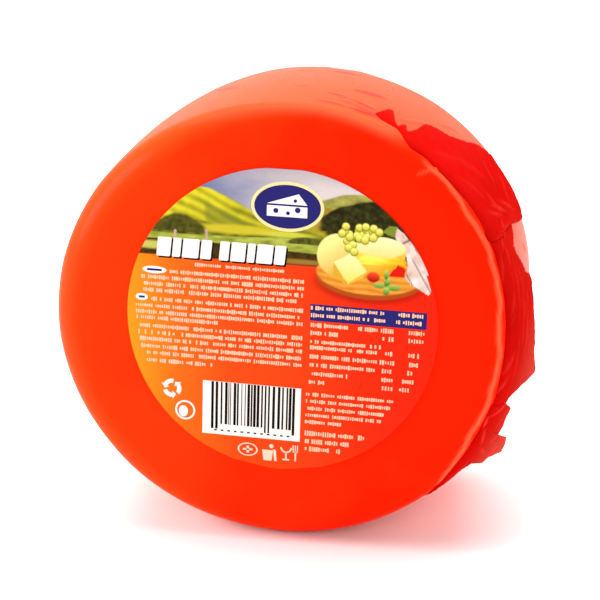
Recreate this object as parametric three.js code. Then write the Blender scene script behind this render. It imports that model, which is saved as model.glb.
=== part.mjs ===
// A small wheel of semi-hard cheese, shrink-wrapped in red film, standing on its rim.
//
// Millimetres, +Z up. The labelled face looks along -Y and +X is to its right. The origin is the
// middle of the small flat spot that the wheel has settled onto.
//
// The wheel is a solid of revolution about Y: flat faces that fall away a little towards the
// edge, round shoulders and a slightly crowned rim. Under its own weight it has spread sideways
// and flattened where it touches the surface. The film follows the cheese everywhere, and what
// is left of the bag is folded flat over the rim on the right, with its torn end standing off.

import * as THREE from 'three';

// Driving dimensions, measured on the outside of the wrapped wheel.
const WHEEL_HEIGHT = 145;
const WHEEL_WIDTH = 150.8;
const WHEEL_THICKNESS = 84;
const SHOULDER_RADIUS = 11;
const RIM_CROWN_RADIUS = 450;
const FACE_FALL_RADIUS = 70;
const FACE_FALL_ANGLE = THREE.MathUtils.degToRad(5);
const FLAT_SPOT_DEPTH = 1.2;

// Shrink film is about a tenth of this. The wall is drawn thicker so that it stays a sound solid.
const FILM_WALL = 0.4;
const PIECE_GAP = 0.3;
// The bag was evacuated through a small opening, which the label covers.
const VENT_RADIUS = 3;

const LABEL_RADIUS = 49.4;
const LABEL_THICKNESS = 0.3;
const LABEL_OFFSET = { x: 1.2, z: 3.8 };

const TAIL_GAP = 0.6;
const TAIL_WALL = 0.8;

// How finely the round shapes are divided.
const TURN_SEGMENTS = 72;
const SHOULDER_SEGMENTS = 3;
const CROWN_SEGMENTS = 3;
const TAIL_WIDTH_SEGMENTS = 10;

// Worked out from the driving dimensions.
const RIM_RADIUS = WHEEL_HEIGHT / 2;
const HALF_THICKNESS = WHEEL_THICKNESS / 2;
const WIDTH_SPREAD = WHEEL_WIDTH / WHEEL_HEIGHT;
const CENTRE_HEIGHT = RIM_RADIUS - FLAT_SPOT_DEPTH;
const TURN_STEP_DEG = 360 / TURN_SEGMENTS;

// Centres of the two arcs that make each shoulder, and where the crown of the rim meets them.
const SHOULDER_CENTRE_Y = HALF_THICKNESS
  - SHOULDER_RADIUS * Math.cos(FACE_FALL_ANGLE)
  - FACE_FALL_RADIUS * (1 - Math.cos(FACE_FALL_ANGLE));
const CROWN_ANGLE = Math.asin(SHOULDER_CENTRE_Y / (RIM_CROWN_RADIUS - SHOULDER_RADIUS));
const CROWN_CENTRE_R = RIM_RADIUS - RIM_CROWN_RADIUS;
const SHOULDER_CENTRE_R = CROWN_CENTRE_R
  + (RIM_CROWN_RADIUS - SHOULDER_RADIUS) * Math.cos(CROWN_ANGLE);
const FALL_CENTRE_R = SHOULDER_CENTRE_R
  - (FACE_FALL_RADIUS - SHOULDER_RADIUS) * Math.sin(FACE_FALL_ANGLE);

// Outline of one side of the wheel, from where its face stops being flat to the middle of the
// rim, lying `inset` inside the wrapped surface. Each point is (radius, height above mid-plane).
function sideOutline(inset) {
  const points = [new THREE.Vector2(FALL_CENTRE_R, HALF_THICKNESS - inset)];

  const shoulderRadius = SHOULDER_RADIUS - inset;
  const shoulderSweep = Math.PI / 2 - CROWN_ANGLE - FACE_FALL_ANGLE;
  for (let i = 0; i <= SHOULDER_SEGMENTS; i += 1) {
    const angle = FACE_FALL_ANGLE + (shoulderSweep * i) / SHOULDER_SEGMENTS;
    points.push(new THREE.Vector2(
      SHOULDER_CENTRE_R + shoulderRadius * Math.sin(angle),
      SHOULDER_CENTRE_Y + shoulderRadius * Math.cos(angle),
    ));
  }

  const crownRadius = RIM_CROWN_RADIUS - inset;
  for (let i = 1; i <= CROWN_SEGMENTS; i += 1) {
    const angle = CROWN_ANGLE * (1 - i / CROWN_SEGMENTS);
    points.push(new THREE.Vector2(
      CROWN_CENTRE_R + crownRadius * Math.cos(angle),
      crownRadius * Math.sin(angle),
    ));
  }
  return points;
}

// The whole outline from the front face round the rim to the back face, without the axis points.
function wheelOutline(inset) {
  const back = sideOutline(inset);
  const front = back.map((point) => new THREE.Vector2(point.x, -point.y));
  back.pop();
  return [...front, ...back.reverse()];
}

// Radius of the wrapped surface at a height y from the mid-plane, on the rim or a shoulder.
function wrappedRadius(y) {
  const depth = Math.abs(y);
  if (depth <= RIM_CROWN_RADIUS * Math.sin(CROWN_ANGLE)) {
    return CROWN_CENTRE_R + Math.sqrt(RIM_CROWN_RADIUS ** 2 - depth ** 2);
  }
  return SHOULDER_CENTRE_R + Math.sqrt(SHOULDER_RADIUS ** 2 - (depth - SHOULDER_CENTRE_Y) ** 2);
}

// Turns a wheel about the Y axis into the settled shape: lifted onto the surface, spread
// sideways, and flattened underneath. `insets` gives each outline point's depth in the wrap, so
// that the layers keep their distance over the flat spot.
function settle(geometry, insets) {
  const position = geometry.getAttribute('position');
  for (let i = 0; i < position.count; i += 1) {
    const height = position.getZ(i) + CENTRE_HEIGHT;
    const floor = insets[i % insets.length];
    position.setXYZ(i, position.getX(i) * WIDTH_SPREAD, position.getY(i), Math.max(height, floor));
  }
  return geometry;
}

function makeCheeseWheel() {
  const inset = FILM_WALL + PIECE_GAP;
  const outline = [
    new THREE.Vector2(0, -(HALF_THICKNESS - inset)),
    ...wheelOutline(inset),
    new THREE.Vector2(0, HALF_THICKNESS - inset),
  ];
  const geometry = new THREE.LatheGeometry(outline, TURN_SEGMENTS);
  return settle(geometry, outline.map(() => inset));
}

// A closed skin: the inner wall from the back to the vent, then the outer wall back again.
function makeFilmBag() {
  const inner = [
    new THREE.Vector2(0, HALF_THICKNESS - FILM_WALL),
    ...wheelOutline(FILM_WALL).reverse(),
    new THREE.Vector2(VENT_RADIUS, -(HALF_THICKNESS - FILM_WALL)),
  ];
  const outer = [
    new THREE.Vector2(VENT_RADIUS, -HALF_THICKNESS),
    ...wheelOutline(0),
    new THREE.Vector2(0, HALF_THICKNESS),
  ];
  const geometry = new THREE.LatheGeometry([...inner, ...outer], TURN_SEGMENTS);
  return settle(geometry, [...inner.map(() => FILM_WALL), ...outer.map(() => 0)]);
}

function makeFaceLabel() {
  const geometry = new THREE.CylinderGeometry(
    LABEL_RADIUS,
    LABEL_RADIUS,
    LABEL_THICKNESS,
    TURN_SEGMENTS,
  );
  geometry.translate(
    LABEL_OFFSET.x,
    -(HALF_THICKNESS + PIECE_GAP + LABEL_THICKNESS / 2),
    CENTRE_HEIGHT + LABEL_OFFSET.z,
  );
  return geometry;
}

// The folded end of the bag, by where it lies round the rim. Each station is an angle up from +X,
// the front and back edges of the folded film, and how far its front and back edges stand off.
const TAIL_STATIONS = [
  { deg: 70, front: -24, back: -19, frontLift: 0.4, backLift: 0.6 },
  { deg: 65, front: -31, back: -21, frontLift: 0.2, backLift: 0.4 },
  { deg: 60, front: -34, back: -25, frontLift: 0, backLift: 0.2 },
  { deg: 55, front: -36, back: -1, frontLift: 0, backLift: 0.2 },
  { deg: 50, front: -36, back: 7, frontLift: 0, backLift: 0.2 },
  { deg: 45, front: -36, back: 20, frontLift: 0, backLift: 0.2 },
  { deg: 40, front: -36, back: 31, frontLift: 0, backLift: 0.3 },
  { deg: 25, front: -36, back: 31, frontLift: 0, backLift: 0.6 },
  { deg: 20, front: -36, back: 20, frontLift: 0, backLift: 0.8 },
  { deg: 15, front: -36, back: -3, frontLift: 0, backLift: 0.6 },
  { deg: 10, front: -36, back: 6, frontLift: 0, backLift: 0.6 },
  { deg: 5, front: -36, back: 28, frontLift: 0, backLift: 0.6 },
  { deg: 0, front: -36, back: 30, frontLift: 0, backLift: 1 },
  { deg: -5, front: -36, back: 25, frontLift: 0, backLift: 3 },
  { deg: -10, front: -36, back: 15, frontLift: 0, backLift: 5 },
  { deg: -15, front: -36, back: 2, frontLift: 0, backLift: 5.5 },
  { deg: -20, front: -36, back: -22, frontLift: 0, backLift: 1.5 },
  { deg: -25, front: -36, back: -20, frontLift: 0, backLift: 3 },
  { deg: -30, front: -36, back: -18, frontLift: 0, backLift: 7 },
  { deg: -35, front: -36, back: -18, frontLift: 0, backLift: 9.5 },
  { deg: -40, front: -36, back: -20, frontLift: 0, backLift: 5 },
  { deg: -45, front: -36, back: -22, frontLift: 0, backLift: 2.5 },
  { deg: -50, front: -34, back: -26, frontLift: 0, backLift: 0.4 },
];

function tailStationAt(deg) {
  const next = TAIL_STATIONS.findIndex((station) => station.deg <= deg);
  const low = TAIL_STATIONS[next];
  if (low.deg === deg) {
    return low;
  }
  const high = TAIL_STATIONS[next - 1];
  const t = (deg - low.deg) / (high.deg - low.deg);
  const blended = { deg };
  for (const key of ['front', 'back', 'frontLift', 'backLift']) {
    blended[key] = THREE.MathUtils.lerp(low[key], high[key], t);
  }
  return blended;
}

// A curved strip with a wall: two grids of points, one lying `TAIL_WALL` outside the other,
// joined along all four edges.
function makeBagTail() {
  const firstDeg = TAIL_STATIONS[0].deg;
  const lastDeg = TAIL_STATIONS[TAIL_STATIONS.length - 1].deg;
  const rows = (firstDeg - lastDeg) / TURN_STEP_DEG;
  const columns = TAIL_WIDTH_SEGMENTS;
  const layerSize = (rows + 1) * (columns + 1);
  const vertices = [];
  for (const wall of [0, TAIL_WALL]) {
    for (let row = 0; row <= rows; row += 1) {
      const station = tailStationAt(firstDeg - row * TURN_STEP_DEG);
      const angle = THREE.MathUtils.degToRad(station.deg);
      for (let column = 0; column <= columns; column += 1) {
        // Columns crowd towards both edges, where the strip bends round the shoulders.
        const across = (1 - Math.cos((Math.PI * column) / columns)) / 2;
        const y = THREE.MathUtils.lerp(station.front, station.back, across);
        const lift = THREE.MathUtils.lerp(station.frontLift, station.backLift, across ** 2);
        const radius = wrappedRadius(y) + TAIL_GAP + lift + wall;
        vertices.push(
          radius * Math.cos(angle) * WIDTH_SPREAD,
          y,
          radius * Math.sin(angle) + CENTRE_HEIGHT,
        );
      }
    }
  }

  const indices = [];
  const addQuad = (a, b, c, d) => indices.push(a, b, c, a, c, d);
  const at = (layer, row, column) => layer * layerSize + row * (columns + 1) + column;
  for (let row = 0; row < rows; row += 1) {
    for (let column = 0; column < columns; column += 1) {
      const corners = [[row, column], [row, column + 1], [row + 1, column + 1], [row + 1, column]];
      const [a, b, c, d] = corners.map(([r, s]) => at(1, r, s));
      addQuad(d, c, b, a);
      const [e, f, g, h] = corners.map(([r, s]) => at(0, r, s));
      addQuad(e, f, g, h);
    }
  }
  for (let row = 0; row < rows; row += 1) {
    addQuad(at(0, row, 0), at(0, row + 1, 0), at(1, row + 1, 0), at(1, row, 0));
    addQuad(
      at(1, row, columns),
      at(1, row + 1, columns),
      at(0, row + 1, columns),
      at(0, row, columns),
    );
  }
  for (let column = 0; column < columns; column += 1) {
    addQuad(at(1, 0, column), at(1, 0, column + 1), at(0, 0, column + 1), at(0, 0, column));
    addQuad(
      at(0, rows, column),
      at(0, rows, column + 1),
      at(1, rows, column + 1),
      at(1, rows, column),
    );
  }

  const geometry = new THREE.BufferGeometry();
  geometry.setAttribute('position', new THREE.Float32BufferAttribute(vertices, 3));
  geometry.setIndex(indices);
  geometry.computeVertexNormals();
  return geometry;
}

function namedMesh(name, geometry, colour, roughness) {
  const material = new THREE.MeshStandardMaterial({ color: colour, roughness, metalness: 0 });
  const mesh = new THREE.Mesh(geometry, material);
  mesh.name = name;
  return mesh;
}

const wrappedCheese = new THREE.Group();
wrappedCheese.add(namedMesh('cheese_wheel', makeCheeseWheel(), '#f3dc9a', 0.6));
wrappedCheese.add(namedMesh('film_bag', makeFilmBag(), '#fb3c12', 0.25));
wrappedCheese.add(namedMesh('bag_tail', makeBagTail(), '#e2130a', 0.3));
wrappedCheese.add(namedMesh('face_label', makeFaceLabel(), '#f0902a', 0.35));

export default wrappedCheese;
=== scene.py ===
import math

import bpy
import numpy as np
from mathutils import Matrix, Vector


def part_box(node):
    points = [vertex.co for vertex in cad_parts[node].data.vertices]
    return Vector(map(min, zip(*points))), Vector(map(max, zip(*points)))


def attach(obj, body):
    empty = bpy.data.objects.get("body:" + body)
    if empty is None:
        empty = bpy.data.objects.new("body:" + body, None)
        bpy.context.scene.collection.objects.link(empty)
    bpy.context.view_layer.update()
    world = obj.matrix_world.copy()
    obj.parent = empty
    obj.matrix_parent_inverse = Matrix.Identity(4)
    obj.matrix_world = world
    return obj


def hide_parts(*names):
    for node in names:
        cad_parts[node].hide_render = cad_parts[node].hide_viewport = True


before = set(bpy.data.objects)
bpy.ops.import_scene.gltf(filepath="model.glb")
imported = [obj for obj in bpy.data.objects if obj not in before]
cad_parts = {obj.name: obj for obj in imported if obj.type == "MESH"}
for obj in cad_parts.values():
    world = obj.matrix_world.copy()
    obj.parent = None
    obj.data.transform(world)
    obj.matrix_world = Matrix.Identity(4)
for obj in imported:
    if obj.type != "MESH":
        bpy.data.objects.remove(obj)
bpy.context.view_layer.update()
MM = 0.001


# ---- Camera ---------------------------------------------------------------------------------
# A short telephoto on the right of the label's middle and a little above it.

VIEW_AZIMUTH = math.radians(10.35)
VIEW_ELEVATION = math.radians(17.15)
VIEW_DISTANCE = 0.6
LENS_MM, SENSOR_MM = 107.3, 36
AIM_LEFT = 0.4 * MM
AIM_DOWN = 1.9 * MM
WRAP_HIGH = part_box("film_bag")[1]
FLAT_SPOT_DEPTH = 1.2 * MM
RIM_RADIUS = (WRAP_HIGH.z + FLAT_SPOT_DEPTH) / 2
AXIS_HEIGHT = WRAP_HIGH.z - RIM_RADIUS


def new_object(name, data):
    """An object in the scene, with this mesh, camera or light."""
    made = bpy.data.objects.new(name, data)
    bpy.context.scene.collection.objects.link(made)
    return made


def aim(holder, place, target):
    """Puts a camera or a light at a place, turned to a target."""
    holder.location = place
    holder.rotation_euler = (target - holder.location).to_track_quat("-Z", "Y").to_euler()


def make_camera():
    toward_viewer = Vector((
        math.sin(VIEW_AZIMUTH) * math.cos(VIEW_ELEVATION),
        -math.cos(VIEW_AZIMUTH) * math.cos(VIEW_ELEVATION),
        math.sin(VIEW_ELEVATION),
    ))
    right = Vector((math.cos(VIEW_AZIMUTH), math.sin(VIEW_AZIMUTH), 0))
    up = toward_viewer.cross(right)
    axis_middle = Vector((0, 0, AXIS_HEIGHT))
    camera = new_object("camera", bpy.data.cameras.new("camera"))
    camera.data.lens = LENS_MM
    camera.data.sensor_width = SENSOR_MM
    camera.data.clip_start = 10 * MM
    target = axis_middle - right * AIM_LEFT - up * AIM_DOWN
    aim(camera, axis_middle + toward_viewer * VIEW_DISTANCE, target)
    bpy.context.scene.camera = camera


make_camera()


# ---- Cheese ---------------------------------------------------------------------------------
# One pressed wheel of semi-hard cheese, rindless because it ripens in its film. The film hides
# it, so it keeps the frame's own solid and takes a pale, faintly mottled paste with small eyes,
# whose hollows are darkened with painted shade.

def node(tree, kind, settings=None, inputs=None):
    """A shader or geometry node. An input is a value, or another node's output to link from."""
    made = tree.nodes.new(kind)
    for name, value in (settings or {}).items():
        setattr(made, name, value)
    for name, value in (inputs or {}).items():
        if isinstance(value, bpy.types.NodeSocket):
            tree.links.new(value, made.inputs[name])
        else:
            made.inputs[name].default_value = value
    return made


def colour_ramp(tree, factor, stops):
    """A colour ramp with its (position, colour) stops."""
    ramp = node(tree, "ShaderNodeValToRGB", inputs={"Fac": factor})
    elements = ramp.color_ramp.elements
    while len(elements) < len(stops):
        elements.new(0.5)
    for element, (position, colour) in zip(elements, stops):
        element.position = position
        element.color = (*colour, 1)
    return ramp.outputs["Color"]


def noise(tree, place, scale, detail, unevenness):
    """A mask of soft random patches."""
    made = node(tree, "ShaderNodeTexNoise", inputs={
        "Vector": place, "Scale": scale, "Detail": detail, "Roughness": unevenness,
    })
    return made.outputs["Fac"]


def spread(tree, value, low, high, start=0.0, end=1.0, kind="LINEAR"):
    """A mask that runs from low to high as a value runs from start to end."""
    made = node(tree, "ShaderNodeMapRange", {"interpolation_type": kind}, {
        "Value": value, "From Min": start, "From Max": end, "To Min": low, "To Max": high,
    })
    return made.outputs["Result"]


def mixed(tree, mask, under, over):
    """A colour with another laid over it where the mask says."""
    made = node(tree, "ShaderNodeMix", {"data_type": "RGBA"}, {
        "Factor": mask, "A": under, "B": (*over, 1),
    })
    return made.outputs["Result"]


def new_material(name):
    """An empty material: its tree, its output and the object coordinates its patterns use."""
    material = bpy.data.materials.new(name)
    material.use_nodes = True
    tree = material.node_tree
    tree.nodes.clear()
    output = tree.nodes.new("ShaderNodeOutputMaterial")
    coordinates = tree.nodes.new("ShaderNodeTexCoord")
    return material, tree, output, coordinates.outputs["Object"]


def finish_material(tree, output, inputs):
    """Ends a material in one Principled shader with these inputs."""
    shader = node(tree, "ShaderNodeBsdfPrincipled", inputs=inputs)
    tree.links.new(shader.outputs["BSDF"], output.inputs["Surface"])


PASTE_PALE = (0.91, 0.76, 0.42)
PASTE_DEEP = (0.84, 0.62, 0.26)
# Painted shade: a darker brown laid into the cheese's eyes, where shade falls in the hollows.
EYE_PAINTED_SHADE = (0.62, 0.42, 0.16)


def cheese_material():
    material, tree, output, place = new_material("pressed_cheese")
    mottle = noise(tree, place, 60.0, 5.0, 0.6)
    paste = colour_ramp(tree, mottle, [(0.3, PASTE_DEEP), (0.7, PASTE_PALE)])
    cells = node(tree, "ShaderNodeTexVoronoi", inputs={"Vector": place, "Scale": 190.0})
    eyes = spread(tree, cells.outputs["Distance"], 1.0, 0.0, 0.1, 0.2)
    bump = node(tree, "ShaderNodeBump", {"invert": True}, {
        "Strength": 0.4, "Distance": 0.4 * MM, "Height": eyes,
    })
    finish_material(tree, output, {
        "Base Color": mixed(tree, eyes, paste, EYE_PAINTED_SHADE), "Roughness": 0.5,
        "Normal": bump.outputs["Normal"],
    })
    return material


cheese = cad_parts["cheese_wheel"]
cheese.data.materials.clear()
cheese.data.materials.append(cheese_material())


# ---- Film bag -------------------------------------------------------------------------------
# Red shrink film, drawn tight over the cheese in hot water. It follows the wheel all round:
# flat faces, a soft fall towards the edge, round shoulders and a slightly crowned rim. Small
# pleats are left where it shrank unevenly, and they look darker because the film is doubled.

HALF_THICKNESS = WRAP_HIGH.y
SIDE_SPREAD = WRAP_HIGH.x / RIM_RADIUS
SHOULDER_RADIUS = 11 * MM
CROWN_RADIUS = 450 * MM
FALL_RADIUS = 70 * MM
FALL_ANGLE = math.radians(5)
FLAT_EDGE_SOFTNESS = 0.25 * MM

shoulder_y = (
    HALF_THICKNESS
    - SHOULDER_RADIUS * math.cos(FALL_ANGLE)
    - FALL_RADIUS * (1 - math.cos(FALL_ANGLE))
)
crown_angle = math.asin(shoulder_y / (CROWN_RADIUS - SHOULDER_RADIUS))
crown_r = RIM_RADIUS - CROWN_RADIUS
shoulder_r = crown_r + (CROWN_RADIUS - SHOULDER_RADIUS) * math.cos(crown_angle)
fall_r = shoulder_r - (FALL_RADIUS - SHOULDER_RADIUS) * math.sin(FALL_ANGLE)
crown_length = CROWN_RADIUS * crown_angle
shoulder_length = SHOULDER_RADIUS * (math.pi / 2 - crown_angle - FALL_ANGLE)
fall_length = FALL_RADIUS * FALL_ANGLE
outline_length = crown_length + shoulder_length + fall_length + fall_r


def outline(across):
    """The wrap's outline, `across` metres from the middle of the rim and negative towards the
    label: its radius, its depth, and the two parts of its outward direction."""
    side = np.sign(across)
    along = np.abs(across)
    past_crown = along - crown_length
    past_shoulder = past_crown - shoulder_length
    past_fall = past_shoulder - fall_length
    lean = np.where(
        past_crown < 0, along / CROWN_RADIUS,
        np.where(
            past_shoulder < 0, crown_angle + past_crown / SHOULDER_RADIUS,
            np.where(
                past_fall < 0, math.pi / 2 - FALL_ANGLE + past_shoulder / FALL_RADIUS,
                math.pi / 2,
            ),
        ),
    )
    arcs = (
        (past_crown < 0, CROWN_RADIUS, crown_r, 0.0),
        ((past_crown >= 0) & (past_shoulder < 0), SHOULDER_RADIUS, shoulder_r, shoulder_y),
        ((past_shoulder >= 0) & (past_fall < 0), FALL_RADIUS, fall_r, HALF_THICKNESS - FALL_RADIUS),
    )
    radius = fall_r - past_fall
    depth = np.full_like(radius, HALF_THICKNESS)
    for where, arc, centre_r, centre_y in arcs:
        radius = np.where(where, centre_r + arc * np.cos(lean), radius)
        depth = np.where(where, centre_y + arc * np.sin(lean), depth)
    return radius, side * depth, np.cos(lean), side * np.sin(lean)


def across_at_depth(depth):
    """How far across the outline a depth on the rim or a shoulder lies."""
    past = np.clip((np.abs(depth) - shoulder_y) / SHOULDER_RADIUS, -1, 1)
    on_shoulder = crown_length + SHOULDER_RADIUS * (np.arcsin(past) - crown_angle)
    on_crown = CROWN_RADIUS * np.arcsin(np.clip(np.abs(depth) / CROWN_RADIUS, 0, 1))
    return np.sign(depth) * np.where(on_crown < crown_length, on_crown, on_shoulder)


def wrap_points(angle, across, lift):
    """Points `lift` metres outside the wrap, at an angle up from +X round the wheel's axis."""
    radius, depth, out_r, out_y = outline(across)
    radius = radius + lift * out_r
    height = AXIS_HEIGHT + radius * np.sin(angle)
    settled = (height + np.sqrt(height ** 2 + FLAT_EDGE_SOFTNESS ** 2)) / 2
    height = np.where(height < 5 * MM, settled, height)
    return np.stack([radius * np.cos(angle) * SIDE_SPREAD, depth + lift * out_y, height], -1)


def quads(rows, columns, close_rows):
    """Corner numbers of the quads of a grid of points, joined end to end if close_rows."""
    row = np.arange(rows if close_rows else rows - 1)[:, None]
    column = np.arange(columns - 1)[None, :]
    after = (row + 1) % rows
    corners = (
        row * columns + column, after * columns + column,
        after * columns + column + 1, row * columns + column + 1,
    )
    return np.stack([c + 0 * column + 0 * row for c in corners], -1).reshape(-1, 4)


def mesh_object(name, points, faces, attributes=None, smooth=True):
    """A piece of the object, at the origin, with one number per point for each attribute."""
    mesh = bpy.data.meshes.new(name)
    mesh.from_pydata([tuple(p) for p in points], [], [tuple(int(i) for i in f) for f in faces])
    for key, values in (attributes or {}).items():
        layer = mesh.attributes.new(key, "FLOAT", "POINT")
        layer.data.foreach_set("value", np.asarray(values, np.float32).ravel())
    mesh.polygons.foreach_set("use_smooth", [smooth] * len(mesh.polygons))
    mesh.update()
    return new_object(name, mesh)


# Pleats of the film: from and to, each an angle in degrees and a depth in millimetres, then how
# high the pleat stands and how wide its foot is, in millimetres, and how dark its doubling looks.
PLEATS = (
    ((134, -4), (115, 22), 0.2, 2.6, 0.8), ((121, 26), (109, 24), 0.2, 1.6, 0.4),
    ((116, 11), (105, -4), 0.25, 2.2, 0.6), ((91, -9.5), (86, -7.5), 0.15, 1.6, 0.4),
    ((86, 23.6), (77, 24.6), 0.2, 2.6, 0.9), ((77.5, -3.4), (67.5, 0.4), 0.2, 4, 0.9),
    ((82, -14.2), (75, -15.6), 0.3, 1.2, 1), ((76, -15.4), (67.5, -20.4), 0.35, 1.4, 1),
    ((84, -26.4), (74.5, -25.6), 0.25, 1.2, 0.9), ((75.5, -25.8), (66.5, -26), 0.3, 1.9, 1),
    ((79, -19.5), (70, -22), 0.3, 1.2, 0.5), ((73, -23), (66, -24), 0.3, 2.2, 1),
    ((61, -15), (55, -2), 0.3, 1.4, 0.35), ((63, -18), (59, -12), 0.3, 1.2, 0.4),
    ((55, 4), (47, 17), 0.25, 1.4, 0.3), ((95, 24), (88, 20), 0.2, 1.4, 0.2),
    ((150, -20), (138, 4), 0.2, 1.4, 0.2), ((172, 16), (158, 24), 0.25, 1.4, 0.25),
    ((196, -12), (187, -2), 0.2, 1.3, 0.2), ((232, 10), (219, -4), 0.25, 1.4, 0.25),
    ((312, -8), (326, -20), 0.3, 1.6, 0.3), ((318, 22), (333, 12), 0.3, 1.6, 0.3),
    ((340, 26), (352, 32), 0.25, 1.4, 0.3),
)
# The pinched crease that runs down the front shoulder beside the folded bag end, and the short
# crease that crosses it: an angle in degrees and a depth in millimetres at each bend.
SHOULDER_CREASE = (
    (52.5, -36), (47.5, -36.4), (44, -36.7), (40.5, -37.2), (37, -37.6), (33.8, -37.9),
    (27.5, -37.9), (21, -38.2), (17.2, -38.6), (11.8, -39.2), (4.8, -39.8), (-4.8, -39.8),
    (-15.5, -39.8), (-24.8, -40), (-31, -39.7), (-37.8, -39), (-44.8, -36.8),
)
CROSS_CREASE = ((51.6, -39.6), (50, -36.6), (48.4, -33.6))
CREASE_HEIGHT = 0.3
CREASE_WIDTH = 1.2


def unrolled(angle_deg, depth_mm):
    """A place on the rim, in metres round it and across it. Angles run from -60 to 300."""
    if angle_deg > 300:
        angle_deg -= 360
    return np.array([math.radians(angle_deg) * RIM_RADIUS, float(across_at_depth(depth_mm * MM))])


def distance_to_line(around, across, start, end):
    """Distance from each unrolled point to a straight line, and the share of the way along."""
    run = end - start
    share = ((around - start[0]) * run[0] + (across - start[1]) * run[1]) / (run @ run)
    share = np.clip(share, 0, 1)
    away = np.hypot(around - start[0] - share * run[0], across - start[1] - share * run[1])
    return away, share


def pleats_at(angle, across, pleats):
    """Height of the pleats and how far each point shows one's shade, from 0 to 1."""
    around = angle * RIM_RADIUS
    height = np.zeros_like(around)
    shown = np.zeros_like(around)
    for start, end, rise, foot, shade in pleats:
        away, share = distance_to_line(around, across, unrolled(*start), unrolled(*end))
        ends = np.sin(np.pi * np.clip(share, 0.02, 0.98)) ** 0.6
        near = np.clip(1 - away / (foot * MM * ends), 0, 1)
        height = np.maximum(height, rise * MM * ends * near ** 1.4)
        shown = np.maximum(shown, shade * near ** 0.7 * ends)
    return height, shown


def loose_creases(count, seed, angles, depths, lengths, rises, shades):
    """Short creases at random over a part of the rim, written as the pleats are."""
    draw = np.random.default_rng(seed)
    made = []
    for _ in range(count):
        angle, depth, length = draw.uniform(*angles), draw.uniform(*depths), draw.uniform(*lengths)
        turn, rise, shade = draw.uniform(-0.9, 0.9), draw.uniform(*rises), draw.uniform(*shades)
        round_rim = math.degrees(length * MM * math.cos(turn) / RIM_RADIUS)
        end_depth = min(max(depth + length * math.sin(turn), -39), 39)
        foot = draw.uniform(0.5, 1.2)
        made.append(((angle, depth), (angle - round_rim, end_depth), rise, foot, shade))
    return tuple(made)


def crease_at(angle, across, bends, width):
    """How near each point is to a line through these bends, from 0 to 1."""
    around = angle * RIM_RADIUS
    wander = 0.25 * MM * np.sin(angle * 23) + 0.15 * MM * np.sin(angle * 51 + 1)
    nearest = np.full_like(around, 1.0)
    for start, end in zip(bends, bends[1:]):
        away, _ = distance_to_line(around, across + wander, unrolled(*start), unrolled(*end))
        nearest = np.minimum(nearest, away)
    return np.clip(1 - nearest / (width * MM), 0, 1)


WRINKLES = loose_creases(
    count=26, seed=5, angles=(-55, 295), depths=(8, 38), lengths=(5, 16),
    rises=(0.12, 0.3), shades=(0.05, 0.25),
)
# The rim's pale sheen is painted: a paler orange laid into the film's colour where the lamps
# reflect, and the same mask weights the film's real coat gloss. It reaches over the first share of
# the shoulder and fades over the second. Both are longer on the left, where the key light falls,
# and little painted sheen is left in front beside the folded bag end.
SHEEN_REACH, SHEEN_FADE = 0.44, 0.36
LEFT_REACH, LEFT_FADE = 0.55, 0.5
SHEEN_LOST = 0.85
SKIN_SEGMENTS = 600
FACE_RINGS, FALL_RINGS, SHOULDER_RINGS, RIM_RINGS = 14, 8, 18, 44


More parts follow.
